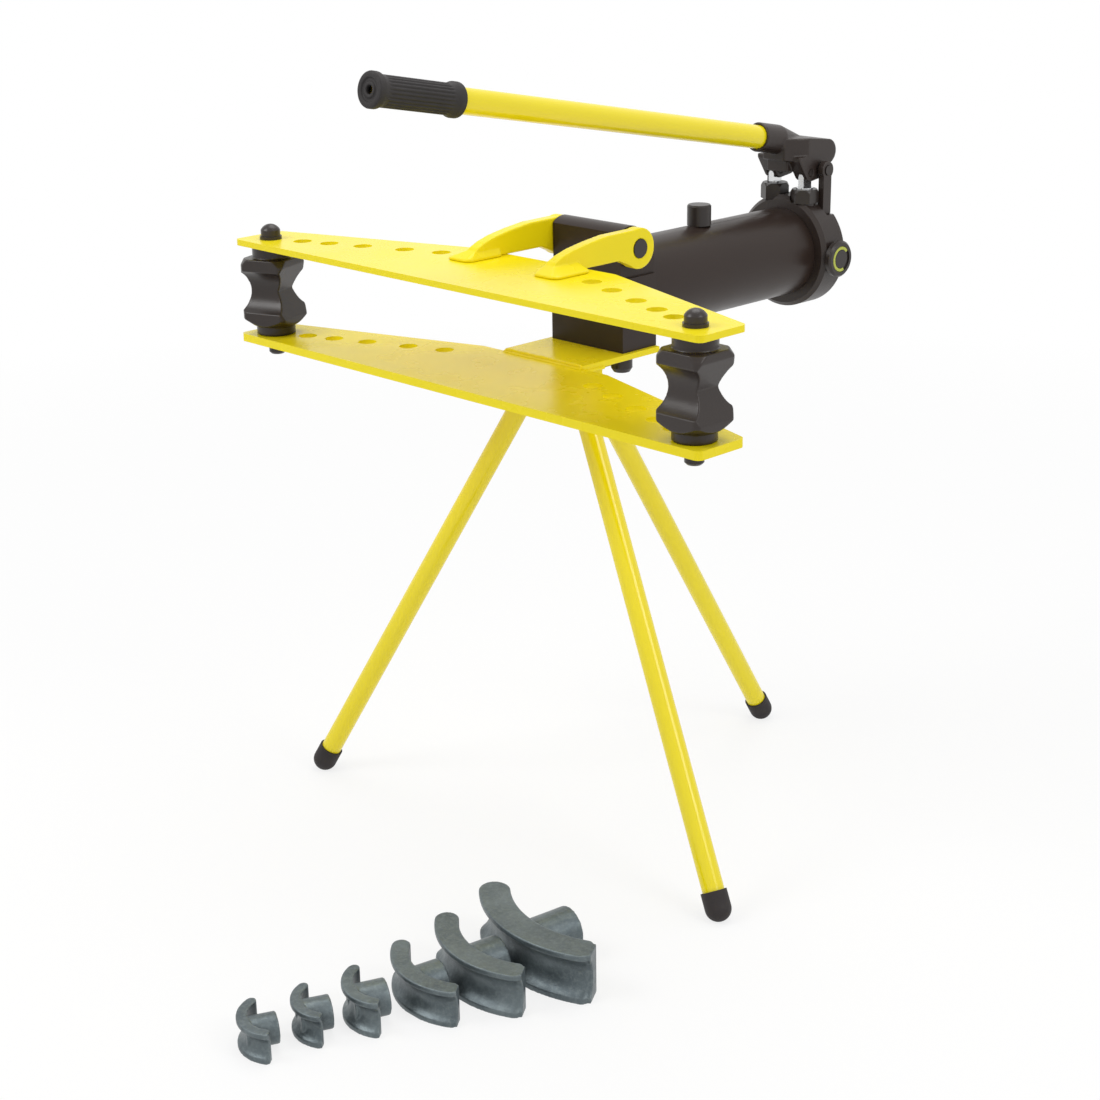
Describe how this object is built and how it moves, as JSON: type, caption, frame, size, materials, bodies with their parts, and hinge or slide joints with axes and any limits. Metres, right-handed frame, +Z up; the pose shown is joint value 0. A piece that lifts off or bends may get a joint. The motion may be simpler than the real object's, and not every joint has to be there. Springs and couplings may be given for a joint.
{
  "type": "hydraulic pipe bender",
  "caption": "Hand-pumped hydraulic pipe bender: two wing plates, turning pivot blocks, hinged top wing, ram cylinder, tripod legs and loose bending dies.",
  "frame": {"origin": "on the floor, under the middle of the whole kit's outline", "axes": "+X along the wings towards the release valve's side, +Y from the wings towards the pump, +Z up"},
  "size_m": [0.6231, 0.9097, 0.7533],
  "materials": {
    "yellow_paint": "gloss",
    "black_paint": "gloss",
    "black_oxide_steel": "satin",
    "bright_steel": "bright",
    "black_cast_iron": "satin",
    "die_iron": "satin",
    "brass": "machined",
    "seal_rubber": "matt",
    "black_rubber": "matt"
  },
  "bodies": {
    "stand_and_cylinder": {"lower_wing": "yellow_paint", "seat_plate": "yellow_paint", "seat_ribs": "yellow_paint", "head_block": "black_paint", "block_bolts": "black_oxide_steel", "reservoir_tube": "black_paint", "cylinder_barrel": "bright_steel", "barrel_washers": "brass", "rod_bush": "brass", "rod_wiper": "seal_rubber", "return_spring": "bright_steel", "spring_anchor": "bright_steel", "pump_body": "black_paint", "discharge_balls": "bright_steel", "small_gland_nut": "black_paint", "large_gland_nut": "black_paint", "small_packing": "seal_rubber", "large_packing": "seal_rubber", "fulcrum_posts": "black_paint", "fulcrum_pin": "bright_steel", "tripod_head": "yellow_paint", "leg_sockets": "yellow_paint", "leg_set_screws": "bright_steel", "left_leg": "yellow_paint", "right_leg": "yellow_paint", "rear_leg": "yellow_paint", "left_foot_cap": "black_rubber", "right_foot_cap": "black_rubber", "rear_foot_cap": "black_rubber"},
    "upper_wing_frame": {"upper_wing": "yellow_paint", "left_hinge_arm": "yellow_paint", "right_hinge_arm": "yellow_paint"},
    "hinge_pin": {"hinge_pin": "black_oxide_steel"},
    "ram": {"ram": "bright_steel", "piston_ring": "seal_rubber", "ram_spring_pin": "bright_steel"},
    "rocker": {"rocker": "black_paint", "plunger_pins": "bright_steel"},
    "handle": {"handle_tube": "yellow_paint", "handle_grip": "black_rubber"},
    "small_plunger": {"small_plunger": "bright_steel"},
    "large_plunger": {"large_plunger": "bright_steel"},
    "release_valve": {"release_valve_stem": "bright_steel", "release_valve_knob": "black_paint"},
    "filler_knob": {"filler_knob": "black_paint"},
    "left_pivot_block": {"left_pivot_block": "black_cast_iron"},
    "right_pivot_block": {"right_pivot_block": "black_cast_iron"},
    "left_pivot_pin": {"left_pivot_pin": "black_oxide_steel"},
    "right_pivot_pin": {"right_pivot_pin": "black_oxide_steel"},
    "die_half_inch": {"die_half_inch": "die_iron"},
    "die_three_quarter_inch": {"die_three_quarter_inch": "die_iron"},
    "die_one_inch": {"die_one_inch": "die_iron"},
    "die_inch_and_quarter": {"die_inch_and_quarter": "die_iron"},
    "die_inch_and_half": {"die_inch_and_half": "die_iron"},
    "die_two_inch": {"die_two_inch": "die_iron"}
  },
  "joints": [
    {"name": "upper_wing_hinge", "type": "hinge", "parent": "stand_and_cylinder", "child": "upper_wing_frame", "pos_m": [0, 0.1208, 0.569], "axis": [-1, 0, 0], "range_deg": [0, 38]},
    {"name": "hinge_pin_pull", "type": "slide", "parent": "stand_and_cylinder", "child": "hinge_pin", "axis": [-1, 0, 0], "range_m": [0, 0.12]},
    {"name": "ram_stroke", "type": "slide", "parent": "stand_and_cylinder", "child": "ram", "axis": [0, -1, 0], "range_m": [0, 0.2], "stiffness_N_per_m": 150, "springref_m": -0.05, "deforming": ["return_spring"]},
    {"name": "rocker_pivot", "type": "hinge", "parent": "stand_and_cylinder", "child": "rocker", "pos_m": [0, 0.4298, 0.603], "axis": [-1, 0, 0], "range_deg": [0, 35]},
    {"name": "handle_pull", "type": "slide", "parent": "rocker", "child": "handle", "axis": [0, -0.9829, 0.184], "range_m": [0, 0.05]},
    {"name": "small_plunger_stroke", "type": "slide", "parent": "stand_and_cylinder", "child": "small_plunger", "axis": [0, 0, 1], "range_m": [0, 0.0097]},
    {"name": "large_plunger_stroke", "type": "slide", "parent": "stand_and_cylinder", "child": "large_plunger", "axis": [0, 0, 1], "range_m": [0, 0.0097]},
    {"name": "release_valve_turn", "type": "hinge", "parent": "stand_and_cylinder", "child": "release_valve", "pos_m": [0, 0.4178, 0.515], "axis": [1, 0, 0], "range_deg": [0, 360]},
    {"name": "filler_knob_lift", "type": "slide", "parent": "stand_and_cylinder", "child": "filler_knob", "axis": [0, 0, 1], "range_m": [0, 0.03]},
    {"name": "left_pivot_block_turn", "type": "hinge", "parent": "stand_and_cylinder", "child": "left_pivot_block", "pos_m": [-0.283, -0.0552, 0.51], "axis": [0, 0, 1], "continuous": true},
    {"name": "left_pivot_pin_lift", "type": "slide", "parent": "stand_and_cylinder", "child": "left_pivot_pin", "axis": [0, 0, 1], "range_m": [0, 0.13]},
    {"name": "right_pivot_block_turn", "type": "hinge", "parent": "stand_and_cylinder", "child": "right_pivot_block", "pos_m": [0.283, -0.0552, 0.51], "axis": [0, 0, 1], "continuous": true},
    {"name": "right_pivot_pin_lift", "type": "slide", "parent": "stand_and_cylinder", "child": "right_pivot_pin", "axis": [0, 0, 1], "range_m": [0, 0.13]},
    {"name": "die_half_inch_lift", "type": "slide", "parent": "stand_and_cylinder", "child": "die_half_inch", "axis": [0, 0, 1], "range_m": [0, 0.15]},
    {"name": "die_three_quarter_inch_lift", "type": "slide", "parent": "stand_and_cylinder", "child": "die_three_quarter_inch", "axis": [0, 0, 1], "range_m": [0, 0.15]},
    {"name": "die_one_inch_lift", "type": "slide", "parent": "stand_and_cylinder", "child": "die_one_inch", "axis": [0, 0, 1], "range_m": [0, 0.15]},
    {"name": "die_inch_and_quarter_lift", "type": "slide", "parent": "stand_and_cylinder", "child": "die_inch_and_quarter", "axis": [0, 0, 1], "range_m": [0, 0.15]},
    {"name": "die_inch_and_half_lift", "type": "slide", "parent": "stand_and_cylinder", "child": "die_inch_and_half", "axis": [0, 0, 1], "range_m": [0, 0.15]},
    {"name": "die_two_inch_lift", "type": "slide", "parent": "stand_and_cylinder", "child": "die_two_inch", "axis": [0, 0, 1], "range_m": [0, 0.15]}
  ],
  "couplings": [
    {"joint": "small_plunger_stroke", "follows": "rocker_pivot", "m_per_rad": 0.015615},
    {"joint": "large_plunger_stroke", "follows": "rocker_pivot", "m_per_rad": 0.015615}
  ]
}
